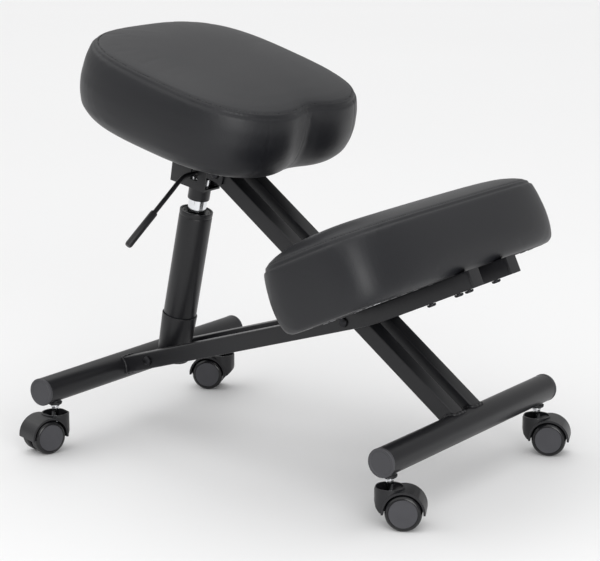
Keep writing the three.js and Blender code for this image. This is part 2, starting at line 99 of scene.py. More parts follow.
# Cover cloth, in metres and Blender's cloth units.
VOXEL = 0.0055
CLOTH_STEPS = 20
CLOTH_MASS = 0.4
CLOTH_STRETCH = 25
CLOTH_SHEAR = 12
CLOTH_BEND = 1.5

# Seams and stitches.
SEAM_WIDTH = 0.0022
ROW_WIDTH = 0.0016
ROW_SHARE = 0.45
PANEL_SHARE = 0.35
THREAD_R = 0.00042
THREAD_LIFT = 0.0001
THREAD_SIDES = 6
STITCH_SHARE = 0.36
STAPLES = 34

# Stage, in metres and degrees.
FLOOR_SIZE = 60
KEY_PLACE = (-2.3, -2.9, 1.4)
KEY_SIZE = 2.2
KEY_AIM = (0, 0, 0.3)
SUN_SPREAD = 110
SUN_TURN = (-12, -10)
SENSOR_MM = 36
CAMERA_PLACE = (-2.42356, -1.73564, 0.96179)
CAMERA_AZIMUTH = -54.5
CAMERA_ELEVATION = 13.31


# ---- shader maths


class Value:
    """A shader socket that can be used in a Python expression."""

    def __init__(self, tree, socket):
        self.tree = tree
        self.socket = socket

    def node(self, kind, settings=None, **inputs):
        made = self.tree.nodes.new(kind)
        for key, value in (settings or {}).items():
            if key == "stops":
                ramp = made.color_ramp
                while len(ramp.elements) < len(value):
                    ramp.elements.new(0.5)
                for element, (place, colour) in zip(ramp.elements, value):
                    element.position = place
                    element.color = colour
            else:
                setattr(made, key, value)
        for key, value in inputs.items():
            name = key.replace("_", " ")
            numbered = name[0] == "i" and name[1:].isdigit()
            target = made.inputs[int(name[1:]) if numbered else name]
            if isinstance(value, Value):
                self.tree.links.new(value.socket, target)
            else:
                target.default_value = value
        return made

    def out(self, made, name=0):
        return Value(self.tree, made.outputs[name])

    def math(self, operation, a, b=0.0, clamp=False):
        settings = {"operation": operation, "use_clamp": clamp}
        return self.out(self.node("ShaderNodeMath", settings, i0=a, i1=b))

    def __add__(self, other):
        return self.math("ADD", self, other)

    def __sub__(self, other):
        return self.math("SUBTRACT", self, other)

    def __rsub__(self, other):
        return self.math("SUBTRACT", other, self)

    def __mul__(self, other):
        return self.math("MULTIPLY", self, other)

    __radd__ = __add__
    __rmul__ = __mul__

    def clamped(self):
        return self.math("ADD", self, 0.0, clamp=True)


def noise(at, scale, detail=3.0, rough=0.5):
    made = at.node("ShaderNodeTexNoise", {}, Vector=at, Scale=scale, Detail=detail, Roughness=rough)
    return at.out(made, "Fac")


def cells(at, scale, feature="F1"):
    made = at.node("ShaderNodeTexVoronoi", {"feature": feature}, Vector=at, Scale=scale)
    return at.out(made, "Distance")


def stretched(at, scale):
    made = at.node("ShaderNodeVectorMath", {"operation": "MULTIPLY"}, i0=at, i1=scale)
    return at.out(made, "Vector")


def mix_colour(mask, a, b):
    made = mask.node("ShaderNodeMix", {"data_type": "RGBA"})
    for index, value in ((0, mask), (6, a), (7, b)):
        if isinstance(value, Value):
            mask.tree.links.new(value.socket, made.inputs[index])
        else:
            made.inputs[index].default_value = value
    return mask.out(made, 2)


def finish(name, build, **fixed):
    """Material whose build function returns the varying sockets by name."""
    material = bpy.data.materials.new(name)
    material.use_nodes = True
    tree = material.node_tree
    shader = tree.nodes["Principled BSDF"]
    for key, value in fixed.items():
        shader.inputs[key.replace("_", " ")].default_value = value
    coord = tree.nodes.new("ShaderNodeTexCoord")
    at = Value(tree, coord.outputs["Object"])
    for key, value in build(at).items():
        if key == "Height":
            height, strength, distance = value
            bump = at.node(
                "ShaderNodeBump", {}, Strength=strength, Distance=distance, Height=height)
            tree.links.new(bump.outputs["Normal"], shader.inputs["Normal"])
        elif isinstance(value, Value):
            tree.links.new(value.socket, shader.inputs[key])
        else:
            shader.inputs[key].default_value = value
    return material


def shade(colour, gain):
    return tuple(min(1.0, c * gain) for c in colour[:3]) + (1.0,)


def leather_finish(props):
    colour = props.leather_colour

    def build(at):
        broad = noise(at, 9.0, 4.0)
        fine = noise(at, 420.0, 4.0, 0.6)
        pebble = cells(at, 620.0)
        crease = cells(at, 260.0, "DISTANCE_TO_EDGE")
        furrow = 1.0 - (crease * 9.0).clamped()
        height = pebble * 0.55 + fine * 0.5 - furrow * 0.35
        tone = (broad * 0.6 + fine * 0.25).clamped()
        return {
            "Base Color": mix_colour(tone, shade(colour, 0.8), shade(colour, 1.3)),
            "Roughness": broad * 0.1 + fine * 0.08 + (props.leather_gloss - 0.1),
            "Height": (height, 0.22, 0.0004),
        }

    return finish("black leather", build, Specular_IOR_Level=0.42)


def powder_finish(props):
    colour = props.frame_colour

    def build(at):
        peel = noise(at, 900.0, 2.0)
        speck = noise(at, 2600.0, 1.0)
        wear = noise(at, 14.0, 5.0, 0.6)
        return {
            "Base Color": mix_colour(wear, shade(colour, 0.85), shade(colour, 1.25)),
            "Roughness": wear * 0.12 + peel * 0.06 + 0.27,
            "Height": (peel * 0.7 + speck * 0.3, 0.16, 0.0002),
        }

    return finish("black powder coat", build, Specular_IOR_Level=0.4)


def plastic_finish(name, colour, rough, grain):
    def build(at):
        fine = noise(at, 1500.0, 2.0)
        broad = noise(at, 30.0, 3.0)
        return {
            "Base Color": mix_colour(broad, shade(colour, 0.85), shade(colour, 1.2)),
            "Roughness": broad * 0.08 + fine * 0.06 + rough,
            "Height": (fine, grain, 0.0002),
        }

    return finish(name, build, Specular_IOR_Level=0.4)


def metal_finish(name, colour, rough, along):
    def build(at):
        drawn = noise(stretched(at, along), 1.0, 3.0)
        smear = noise(at, 40.0, 3.0)
        return {
            "Base Color": mix_colour(smear, shade(colour, 0.92), shade(colour, 1.06)),
            "Roughness": drawn * 0.1 + smear * 0.06 + rough,
            "Height": (drawn, 0.05, 0.0001),
        }

    return finish(name, build, Metallic=1.0)


def plywood_finish():
    def build(at):
        grain = noise(stretched(at, (14.0, 220.0, 14.0)), 1.0, 5.0, 0.6)
        return {
            "Base Color": mix_colour(grain, (0.34, 0.2, 0.1, 1.0), (0.6, 0.42, 0.25, 1.0)),
            "Roughness": grain * 0.2 + 0.6,
            "Height": (grain, 0.2, 0.0003),
        }

    return finish("plywood", build)


def felt_finish():
    def build(at):
        fibre = noise(stretched(at, (700.0, 1100.0, 700.0)), 1.0, 4.0, 0.7)
        return {
            "Base Color": mix_colour(fibre, (0.006, 0.006, 0.007, 1.0), (0.03, 0.03, 0.032, 1.0)),
            "Roughness": fibre * 0.15 + 0.82,
            "Height": (fibre, 0.5, 0.0006),
        }

    return finish("underside cloth", build)


finishes = {}


def make_finishes(props):
    finishes["leather"] = leather_finish(props)
    finishes["powder"] = powder_finish(props)
    finishes["plastic"] = plastic_finish("black plastic", (0.01, 0.01, 0.0115), 0.34, 0.1)
    finishes["cap"] = plastic_finish("cap plastic", (0.045, 0.045, 0.05), 0.46, 0.16)
    finishes["disc"] = plastic_finish("wheel disc plastic", (0.05, 0.05, 0.056), 0.46, 0.14)
    finishes["rim"] = plastic_finish("wheel rim plastic", (0.006, 0.006, 0.007), 0.12, 0.02)
    finishes["tread"] = plastic_finish("wheel tread", (0.014, 0.014, 0.015), 0.5, 0.2)
    finishes["chrome"] = metal_finish("chrome", (0.8, 0.81, 0.83), 0.05, (900.0, 900.0, 30.0))
    finishes["steel"] = metal_finish(
        "black zinc steel", (0.035, 0.035, 0.038), 0.36, (200.0, 200.0, 200.0))
    finishes["staple"] = metal_finish(
        "staple wire", (0.25, 0.25, 0.26), 0.3, (300.0, 300.0, 300.0))
    finishes["plywood"] = plywood_finish()
    finishes["felt"] = felt_finish()
    finishes["thread"] = plastic_finish("thread", (0.02, 0.02, 0.022), 0.6, 0.4)


# ---- mesh helpers


def lift_place():
    return Matrix.Translation((0, *LIFT_PIVOT)) @ Matrix.Rotation(LIFT_LEAN, 4, "X")


def seat_place():
    return Matrix.Translation((0, *SEAT_AT)) @ Matrix.Rotation(SEAT_TILT, 4, "X")


def knee_place():
    y, z = along(BAR_KINK, KNEE_RAIL_END, -227.0)
    y += math.sin(KNEE_TILT) * SQ / 2
    z += math.cos(KNEE_TILT) * SQ / 2
    return Matrix.Translation((0, y, z)) @ Matrix.Rotation(-KNEE_TILT, 4, "X")


def along(a, b, y):
    return (y, a[1] + (b[1] - a[1]) * (y - a[0]) / (b[0] - a[0]))


def diag_at(y):
    return (y, FRAME_PIVOT[1] - 0.7 + DIAG_SLOPE * (y - FRAME_PIVOT[0]))


def linked(name, data):
    """New object in the scene."""
    made = bpy.data.objects.new(name, data)
    bpy.context.scene.collection.objects.link(made)
    return made


def mesh_of(name, points, faces, merge=True):
    """Mesh with its faces outward, from points in metres."""
    data = bpy.data.meshes.new(name)
    data.from_pydata(points, [], faces)
    bm = bmesh.new()
    bm.from_mesh(data)
    if merge:
        bmesh.ops.remove_doubles(bm, verts=bm.verts, dist=1e-7)
    bmesh.ops.recalc_face_normals(bm, faces=bm.faces)
    bm.to_mesh(data)
    bm.free()
    return data


def put(name, verts, faces, place, body, finish_names, of=None):
    """Piece made from millimetre points, placed by a matrix and riding on its body."""
    data = mesh_of(name, [place @ Vector(v) * MM for v in verts], faces)
    return place_mesh(name, data, body, finish_names, of)


def place_mesh(name, data, body, finish_names, of=None, groups=()):
    """Piece made from a mesh; groups gives the finish of each face, where there are several."""
    made = linked(name, data)
    names = finish_names.split()
    for part in names:
        data.materials.append(finishes[part])
    for polygon, index in zip(data.polygons, groups):
        polygon.material_index = index
    data.shade_smooth()
    data.set_sharp_from_angle(angle=math.radians(38))
    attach(made, body)
    if of:
        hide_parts(of)
    return made


def fillet(points, radius, closed=False, steps=3):
    """Rounds the corners of a profile."""
    out = []
    count = len(points)
    for i, point in enumerate(points):
        if not closed and i in (0, count - 1):
            out.append(point)
            continue
        p = Vector(point)
        a = Vector(points[i - 1]) - p
        b = Vector(points[(i + 1) % count]) - p
        if a.length < 1e-6 or b.length < 1e-6 or a.angle(b) > math.radians(160):
            out.append(point)
            continue
        reach = min(radius / math.tan(a.angle(b) / 2), a.length * 0.45, b.length * 0.45)
        start = p + a.normalized() * reach
        end = p + b.normalized() * reach
        for k in range(steps + 1):
            t = k / steps
            out.append(tuple((1 - t) ** 2 * start + 2 * t * (1 - t) * p + t * t * end))
    return out


def turned(profile, segments=64):
    """Lathe of [radius, z] pairs about +Z, closed on the axis or on itself."""
    verts = []
    faces = []
    rows = []
    for r, z in profile:
        if r < 1e-6:
            rows.append([len(verts)] * segments)
            verts.append((0, 0, z))
        else:
            rows.append(list(range(len(verts), len(verts) + segments)))
            for i in range(segments):
                t = 2 * math.pi * i / segments
                verts.append((r * math.cos(t), r * math.sin(t), z))
    ring = profile[0][0] > 1e-6
    pairs = list(zip(rows, rows[1:])) + ([(rows[-1], rows[0])] if ring else [])
    for low, high in pairs:
        for i in range(segments):
            j = (i + 1) % segments
            face = []
            for v in (low[i], low[j], high[j], high[i]):
                if v not in face:
                    face.append(v)
            if len(face) > 2:
                faces.append(face)
    return verts, faces


def band(around, low, high, base=0):
    """Quads between two rings of around points each."""
    faces = []
    low, high = base + low * around, base + high * around
    for k in range(around):
        m = (k + 1) % around
        faces.append((low + k, low + m, high + m, high + k))
    return faces


def tube_faces(around, count, base=0):
    """Faces of a tube of count rings, closed at both ends."""
    faces = [face for i in range(count - 1) for face in band(around, i, i + 1, base)]
    last = base + (count - 1) * around
    return faces + [tuple(range(base, base + around))[::-1], tuple(range(last, last + around))]


def sweep(path, section, closed=False):
    """Carries a section, a function of position giving (x, y) offsets, along a path of points."""
    points = [Vector(p) for p in path]
    count = len(points)
    verts = []
    normal = None
    for i, p in enumerate(points):
        ahead = points[(i + 1) % count] if closed or i < count - 1 else p
        behind = points[i - 1] if closed or i > 0 else p
        tangent = (ahead - behind).normalized()
        if normal is None:
            normal = tangent.orthogonal().normalized()
        normal = (normal - tangent * normal.dot(tangent)).normalized()
        side = tangent.cross(normal)
        for x, y in section(i / max(1, count - 1)):
            verts.append(p + normal * x + side * y)
    around = len(verts) // count
    if closed:
        return verts, [f for i in range(count) for f in band(around, i, (i + 1) % count)]
    return verts, tube_faces(around, count)


def circle(radius, sides=20):
    turns = [2 * math.pi * k / sides for k in range(sides)]
    return [(radius * math.cos(turn), radius * math.sin(turn)) for turn in turns]


def smooth_path(points, steps=8):
    """Catmull-Rom curve through the points."""
    pts = [Vector(p) for p in points]
    pts = [2 * pts[0] - pts[1]] + pts + [2 * pts[-1] - pts[-2]]
    out = []
    for i in range(1, len(pts) - 2):
        a, b, c, d = pts[i - 1 : i + 3]
        for k in range(steps):
            t = k / steps
            square = (2 * a - 5 * b + 4 * c - d) * t * t
            cube = (3 * b - a - 3 * c + d) * t**3
            out.append(0.5 * (2 * b + (c - a) * t + square + cube))
    out.append(pts[-2])
    return out


def square_outline(half, corner):
    corners = [(-half, -half), (half, -half), (half, half), (-half, half)]
    return fillet(corners, corner, closed=True, steps=4)


def square_tube(path, x_mid):
    """Square tube with rounded corners carried along a [y, z] path."""
    outline = square_outline(SQ / 2, SQ_CORNER)
    verts = []
    count = len(path)
    for i, (y, z) in enumerate(path):
        dirs = []
        if i > 0:
            dirs.append(Vector((y - path[i - 1][0], z - path[i - 1][1])).normalized())
        if i < count - 1:
            dirs.append(Vector((path[i + 1][0] - y, path[i + 1][1] - z)).normalized())
        mean = (dirs[0] + dirs[-1]).normalized()
        n = Vector((-mean.y, mean.x))
        k = 1 / max(0.2, mean.dot(dirs[0]))
        for a, b in outline:
            verts.append((x_mid + a, y + n.x * b * k, z + n.y * b * k))
    return verts, tube_faces(len(outline), count)


def solid_of(verts, faces):
    """Loose solid from millimetre points, for cutting, joining or padding."""
    return linked("tool", mesh_of("tool", [Vector(v) * MM for v in verts], faces))


def combine(base, steps):
    """Boolean steps on a base solid; each step is (operation, solid)."""
    for operation, tool in steps:
        mod = base.modifiers.new(operation, "BOOLEAN")
        mod.operation = operation
        mod.solver = "EXACT"
        mod.object = tool
    apply_modifiers(base)
    for _, tool in steps:
        bpy.data.objects.remove(tool)
    return base


def settled(made):
    """The object's mesh with its modifiers applied."""
    graph = bpy.context.evaluated_depsgraph_get()
    return bpy.data.meshes.new_from_object(made.evaluated_get(graph))


def apply_modifiers(made):
    data = settled(made)
    made.modifiers.clear()
    made.data = data


def dress(node, material, bevel=0.0):
    """Finish and soft edges for a CAD piece that stays as it is."""
    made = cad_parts[node]
    made.data.materials.clear()
    made.data.materials.append(finishes[material])
    weld = made.modifiers.new("weld", "WELD")
    weld.merge_threshold = 1e-6
    if bevel:
        soft = made.modifiers.new("edge", "BEVEL")
        soft.width = bevel * MM
        soft.segments = 2
        soft.limit_method = "ANGLE"
        soft.angle_limit = math.radians(40)
    made.data.shade_smooth()
    split = made.modifiers.new("crisp", "EDGE_SPLIT")
    split.split_angle = math.radians(35)
    return made


# ---- pads


def power(v, p):
    return math.copysign(abs(v) ** p, v)


# Half width and depth, squareness of the outline, height of the rim seam and rise above it.
SEAT = {"half": (178.0, 173.0), "square": 3.05, "seam": 108.0, "crown": 15.0, "wedge": 0.04}
KNEE = {"half": (250.0, 102.0), "square": 4.5, "seam": 94.0, "crown": 22.0}
DIP_DEPTH = 17
DIP_WIDTH = 46
RELIEF_DEPTH = 9
RELIEF_HEIGHT = 62
RELIEF_WIDTH = 62


def seat_warp(x, y, z):
    """Draws in the seat's front hollow and raises its rear."""
    front = max(0.0, -y / SEAT["half"][1])
    dip = DIP_DEPTH * front**3 * math.exp(-((x / DIP_WIDTH) ** 2))
    narrow = 1 - 0.02 * front**2
    lift = z + max(0.0, z - 20) * SEAT["wedge"] * y / SEAT["seam"]
    return (x * narrow, y + dip, lift)


def knee_warp(x, y, z):
    """Eases the pad's rear lower edge in where the diagonal rails come up."""
    low = max(0.0, 1 - max(z, 0.0) / RELIEF_HEIGHT)
    rear = min(1.0, max(0.0, (y - 30) / 50))
    return (x, y - RELIEF_DEPTH * low * rear * math.exp(-((x / RELIEF_WIDTH) ** 4)), z)


def outline_point(pad, turn, off, scale=(1.0, 1.0)):
    """Point of the pad's outline, moved out by off."""
    half = pad["half"]
    x = power(math.cos(turn), 2 / pad["square"]) * (half[0] + off) * scale[0]
    y = power(math.sin(turn), 2 / pad["square"]) * (half[1] + off) * scale[1]
    return x, y


def pad_levels(pad, sides, crown_scales):
    """Rings of the pad from the bottom up: side offsets, then shares of the crown."""
    seam, crown = pad["seam"], pad["crown"]
    levels = [(off, z, (1.0, 1.0)) for off, z in sides]
    levels += [(0.0, seam + crown * lift, scale) for lift, scale in crown_scales]
    return levels


def pad_shape(pad, levels, warp, count=160, shrink=0.0):
    rings = []
    for off, z, scale in levels:
        ring = []
        for i in range(count):
            x, y = outline_point(pad, 2 * math.pi * i / count, off - shrink, scale)
            ring.append(warp(x, y, z))
        rings.append(ring)
    verts = [p for ring in rings for p in ring]
    faces = []
    for k in range(len(rings) - 1):
        faces += band(count, k, k + 1)
    for k in (0, len(rings) - 1):
        ring = rings[k]
        mid = tuple(sum(p[axis] for p in ring) / count for axis in range(3))
        verts.append(mid)
        centre = len(verts) - 1
        for i in range(count):
            faces.append((k * count + i, k * count + (i + 1) % count, centre))
    return verts, faces


def seam_grip(seam):
    """How firmly a cover point stays put: the bottom and the rim seam hold, the rest gives."""

    def held(co):
        n = co.z / MM
        edge = math.exp(-(((n - seam) / 7) ** 2))
        return min(1.0, max(1.0 if n < 4 else 0.0, 0.9 * edge, 0.05))

    return held


def inflate(made, held, cap, pressure):
    """Presses the cover out like stuffed cloth; held gives how firmly each point stays put."""
    group = made.vertex_groups.new(name="held")
    for i, vertex in enumerate(made.data.vertices):
        group.add([i], held(vertex.co), "REPLACE")
    mod = made.modifiers.new("cover", "CLOTH")
    cloth = mod.settings
    cloth.quality = 5
    cloth.mass = CLOTH_MASS
    cloth.tension_stiffness = CLOTH_STRETCH
    cloth.compression_stiffness = CLOTH_STRETCH
    cloth.shear_stiffness = CLOTH_SHEAR
    cloth.bending_stiffness = CLOTH_BEND
    cloth.use_pressure = True
    cloth.uniform_pressure_force = pressure
    cloth.vertex_group_mass = "held"
    cloth.pin_stiffness = 1.0
    cloth.effector_weights.gravity = 0.0
    mod.point_cache.frame_start = 1
    mod.point_cache.frame_end = CLOTH_STEPS
    scene = bpy.context.scene
    for step in range(1, CLOTH_STEPS + 1):
        scene.frame_set(step)
    graph = bpy.context.evaluated_depsgraph_get()
    moved = [v.co.copy() for v in made.evaluated_get(graph).data.vertices]
    made.modifiers.remove(mod)
    scene.frame_set(1)
    for vertex, target in zip(made.data.vertices, moved):
        shift = target - vertex.co
        if shift.length > cap:
            shift *= cap / shift.length
        vertex.co += shift
    made.vertex_groups.clear()


def remeshed(made, voxel):
    """Gives the cover an even mesh, slightly smoothed."""
    mod = made.modifiers.new("even", "REMESH")
    mod.mode = "VOXEL"
    mod.voxel_size = voxel
    apply_modifiers(made)
    soften = made.modifiers.new("soften", "SMOOTH")
    soften.iterations = 2
    soften.factor = 0.5
    apply_modifiers(made)


def refined(made):
    mod = made.modifiers.new("fine", "SUBSURF")
    mod.levels = 1
    mod.render_levels = 1
    apply_modifiers(made)


def seam_line(pad, warp, off, z, count):
    """Points of a seam round the pad, in the pad's own millimetres, ending where it began."""
    out = []
    for i in range(count):
        x, y = outline_point(pad, 2 * math.pi * i / count, off)
        out.append(Vector(warp(x, y, z)))
    out = evened(out)
    return out + out[:1]


def rim_seam(pad, warp, count):
    """The seam round the pad's rim and the row of stitches above it."""
    return (seam_line(pad, warp, 0.5, pad["seam"] - 1, count),
            seam_line(pad, warp, -6, pad["seam"] + 4, count))


def evened(line, step=1.0):
    """The closed line with points no further apart than step."""
    out = []
    for a, b in zip(line, line[1:] + line[:1]):
        pieces = max(1, math.ceil((b - a).length / step))
        out += [a.lerp(b, k / pieces) for k in range(pieces)]
    return out


def on_cover(tree, line):
    """Moves a line's points onto the cover; gives (point, normal) pairs in metres."""
    out = []
    for p in line:
        spot, normal, _, _ = tree.find_nearest(p * MM)
        out.append((spot, normal))
    return out


def press_seams(made, lines, depth, width):
    """Sinks the cover along seam lines, each a list of metre points."""
    spots = [p for line in lines for p in line]
    tree = KDTree(len(spots))
    for i, p in enumerate(spots):
        tree.insert(p, i)
    tree.balance()
    normals = [v.normal.copy() for v in made.data.vertices]
    for vertex, normal in zip(made.data.vertices, normals):
        _, _, away = tree.find(vertex.co)
        if away < width * 3:
            vertex.co -= normal * depth * math.exp(-((away / width) ** 2))


def stitches(name, line, pitch, body, place):
    """Row of short thread bars lying on the cover along a line of (point, normal) pairs."""
    verts = []
    faces = []
    around = THREAD_SIDES
    travelled = 0.0
    target = pitch
    for (a, na), (b, nb) in zip(line, line[1:]):
        step = (b - a).length
        if travelled + step >= target and step > 1e-9:
            mid = a.lerp(b, 0.5) + na * THREAD_LIFT
            t = (b - a).normalized()
            side = t.cross(na).normalized()
            half = pitch * STITCH_SHARE
            base = len(verts)
            rings = ((-half, 0.25), (-half * 0.6, 0.9), (0, 1.0), (half * 0.6, 0.9), (half, 0.25))
            for d, grow in rings:
                for x, y in circle(THREAD_R * grow, around):
                    verts.append(mid + t * d + side * x + na * y)
            faces += tube_faces(around, len(rings), base)
            target += pitch
        travelled += step
    verts = [place @ (v / MM) for v in verts]
    return put(name, verts, faces, HERE, body, "thread")


def make_pad(name, node, pad, levels, warp, place, body, seams, props):
    """Leather cover over foam: pressed out as cloth, seams sunk in, then placed."""
    verts, faces = pad_shape(pad, levels, warp, shrink=props.slack)
    made = solid_of(verts, faces)
    made.name = name
    remeshed(made, VOXEL)
    inflate(made, seam_grip(pad["seam"]), props.puff * MM, props.pressure)
    refined(made)
    tree = BVHTree.FromObject(made, bpy.context.evaluated_depsgraph_get())
    for line, row in seams:
        depth = props.seam_depth if row else props.seam_depth * PANEL_SHARE
        press_seams(made, [[p for p, _ in on_cover(tree, line)]], depth * MM, SEAM_WIDTH)
    rows = [on_cover(tree, row) for _, row in seams if row]
    depth = props.seam_depth * MM * ROW_SHARE
    press_seams(made, [[p for p, _ in line] for line in rows], depth, ROW_WIDTH)
    tree = BVHTree.FromObject(made, bpy.context.evaluated_depsgraph_get())
    rows = [on_cover(tree, row) for _, row in seams if row]
    made.data.transform(Matrix.Diagonal((1 / MM, 1 / MM, 1 / MM, 1)))
    made.data.transform(place)
    made.data.transform(Matrix.Diagonal((MM, MM, MM, 1)))
    made.data.materials.clear()
    made.data.materials.append(finishes["leather"])
    made.data.shade_smooth()
    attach(made, body)
    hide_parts(node)
    for i, row in enumerate(rows):
        stitches(f"{name}_stitching_{i + 1}", row, props.stitch_pitch * MM, body, place)
    return made


def underside(name, pad, warp, place, body, inset, shift, gap):
    """Stapled cloth under a pad's board, with its staples."""
    count = 120
    rings = []
    for z, extra in ((gap, 0.0), (gap - 0.5, 0.4), (gap - 0.5, 6.0)):
        ring = []
        for i in range(count):
            x, y = outline_point(pad, 2 * math.pi * i / count, -inset - extra)
            x, y, _ = warp(x, y, 0)
            ring.append((x, y - shift, z))
        rings.append(ring)
    verts = [p for ring in rings for p in ring]
    faces = [tuple(range(count))]
    for k in range(2):
        faces += band(count, k, k + 1)
    faces.append(tuple(range(2 * count, 3 * count))[::-1])
    put(f"{name}_cloth", verts, faces, place, body, "felt")
    verts = []
    faces = []
    for i in range(STAPLES):
        turn = 2 * math.pi * (i + 0.5) / STAPLES
        x, y = outline_point(pad, turn, -inset - 14)
        x2, y2 = outline_point(pad, turn + 0.02, -inset - 14)
        x, y, _ = warp(x, y, 0)
        x2, y2, _ = warp(x2, y2, 0)
        t = Vector((x2 - x, y2 - y, 0)).normalized()
        n = Vector((-t.y, t.x, 0))
        mid = Vector((x, y - shift, gap - 0.5))
        base = len(verts)
        for a, b, c in ((-5, -0.5, -0.1), (5, -0.5, -0.1), (5, 0.5, -0.1), (-5, 0.5, -0.1),
                        (-4.6, -0.4, -0.8), (4.6, -0.4, -0.8), (4.6, 0.4, -0.8), (-4.6, 0.4, -0.8)):
            verts.append(mid + t * a + n * b + Vector((0, 0, c)))
        for f in ((0, 1, 2, 3), (7, 6, 5, 4),
                  (0, 4, 5, 1), (1, 5, 6, 2), (2, 6, 7, 3), (3, 7, 4, 0)):
            faces.append(tuple(base + v for v in f))
    put(f"{name}_staples", verts, faces, place, body, "staple")


# ---- properties


class ChairLeather(bpy.types.PropertyGroup):
    leather_colour: bpy.props.FloatVectorProperty(
        name="Leather colour", description="Colour of the pad covers", subtype="COLOR",
        size=3, min=0, max=1, default=(0.0068, 0.0071, 0.0092))
    leather_gloss: bpy.props.FloatProperty(
        name="Leather roughness", description="How dull the leather is",
        default=0.44, min=0.1, max=1)
    seam_depth: bpy.props.FloatProperty(
        name="Seam depth", description="How far seams sink, in millimetres",
        default=1.8, min=0, max=5)
    stitch_pitch: bpy.props.FloatProperty(
        name="Stitch pitch", description="Distance between stitches, in millimetres",
        default=4.5, min=2, max=10)
    slack: bpy.props.FloatProperty(
        name="Cover slack", description="How much smaller the cover starts, in millimetres",
        default=-0.5, min=-5, max=10)
    puff: bpy.props.FloatProperty(
        name="Puff", description="Furthest the cover may move out, in millimetres",
        default=6.0, min=0, max=30)
    pressure: bpy.props.FloatProperty(
        name="Pressure", description="Pressure inside the cover while it is formed",
        default=4.0, min=0, max=20)


class ChairFrame(bpy.types.PropertyGroup):
    frame_colour: bpy.props.FloatVectorProperty(
        name="Frame colour", description="Colour of the powder coat", subtype="COLOR",
        size=3, min=0, max=1, default=(0.008, 0.008, 0.0095))
    weld_size: bpy.props.FloatProperty(
        name="Weld size", description="Radius of the weld beads, in millimetres",
        default=2.4, min=0.5, max=5)


class ChairStage(bpy.types.PropertyGroup):
    floor_colour: bpy.props.FloatVectorProperty(
        name="Floor colour", description="Colour of the floor", subtype="COLOR",
        size=3, min=0, max=1, default=(0.84, 0.84, 0.842))
    key_power: bpy.props.FloatProperty(
        name="Key light", description="Power of the large light to the right of the camera",
        default=60.0, min=0, subtype="POWER", unit="POWER")
    top_power: bpy.props.FloatProperty(
        name="Overhead light", description="Strength of the overhead light", default=1.75, min=0)
    sky: bpy.props.FloatProperty(
        name="Surround", description="Brightness of the surround", default=0.55, min=0)
    lens: bpy.props.FloatProperty(
        name="Lens", description="Camera focal length in millimetres", default=126.8, min=20)


def setting_names(group):
    return [key for key in group.bl_rna.properties.keys() if key not in {"rna_type", "name"}]


class Settings:
    """The leather and frame settings under one name."""

    def __init__(self, scene):
        for group in (scene.chair_leather, scene.chair_frame):
            for key in setting_names(group):
                setattr(self, key, getattr(group, key))


# ---- operators


class Piece:
    bl_options = {"REGISTER"}

    def execute(self, context):
        self.build(context.scene)
        return {"FINISHED"}


class CHAIR_OT_finishes(Piece, bpy.types.Operator):
    """Makes the materials of the chair"""

    bl_idname = "chair.finishes"
    bl_label = "Finishes"

    def build(self, scene):
        make_finishes(Settings(scene))


class CHAIR_OT_seat_pad(Piece, bpy.types.Operator):
    """Builds the leather seat with its seams, stitching and underside"""

    bl_idname = "chair.seat_pad"
    bl_label = "Seat pad"

    def build(self, scene):
        pad = SEAT
        seam = pad["seam"]
        across, deep = pad["half"]
        square = pad["square"]
        sides = ((-30, -0.4), (-25, 0.5), (-18, 4), (-10, 10), (0, 22), (5, 40), (6.8, 58),
                 (5, 84), (1.5, 99), (0, seam - 3), (-3, seam + 0.5))
        tops = ((0.22, (0.95, 0.95)), (0.48, (0.87, 0.87)), (0.75, (0.72, 0.72)),
                (0.92, (0.5, 0.5)), (1.0, (0.25, 0.25)))
        levels = pad_levels(pad, sides, tops)
        seams = [rim_seam(pad, seat_warp, 1400)]
        steps = 60
        for side in (-1, 0, 1):
            line = []
            for k in range(steps):
                t = k / (steps - 1)
                x = 105 * side - 4 * (side == 0) - 16 * (side == 0) * (1 - t)
                edge = -deep * (1 - abs(x / across) ** square) ** (1 / square)
                spread = 7 * math.sin(math.pi * t) - 16 * (1 - t) ** 2
                line.append(Vector(seat_warp(x, edge - spread, 4 + (seam - 6) * t)))
            seams.append((line, None))

        make_pad("seat_leather", "seat_cushion", pad, levels, seat_warp, seat_place(), "seat",
                 seams, Settings(scene))
        underside("seat_underside", pad, seat_warp, seat_place(), "seat", 34, 0, -0.5)
        dress("seat_board", "felt")


class CHAIR_OT_knee_pad(Piece, bpy.types.Operator):
    """Builds the wide leather knee pad with its seam, stitching and underside"""

    bl_idname = "chair.knee_pad"
    bl_label = "Knee pad"

    def build(self, scene):
        pad = KNEE
        seam = pad["seam"]
        sides = ((-12, -0.3), (-5, 0.2), (-1, 3), (2, 12), (4, 24), (4.8, 38), (4.8, 50),
                 (3, 72), (1, 85), (0, seam - 3), (-3, seam + 0.5))
        tops = ((0.26, (0.97, 0.9)), (0.52, (0.93, 0.78)), (0.78, (0.86, 0.6)),
                (0.93, (0.75, 0.38)), (1.0, (0.6, 0.16)))
        levels = pad_levels(pad, sides, tops)
        make_pad("knee_leather", "knee_cushion", pad, levels, knee_warp, knee_place(),
                 "rear_frame", [rim_seam(pad, knee_warp, 1800)], Settings(scene))
        underside("knee_underside", pad, knee_warp, knee_place(), "rear_frame", 22, 12, -0.1)
        dress("knee_board", "felt")


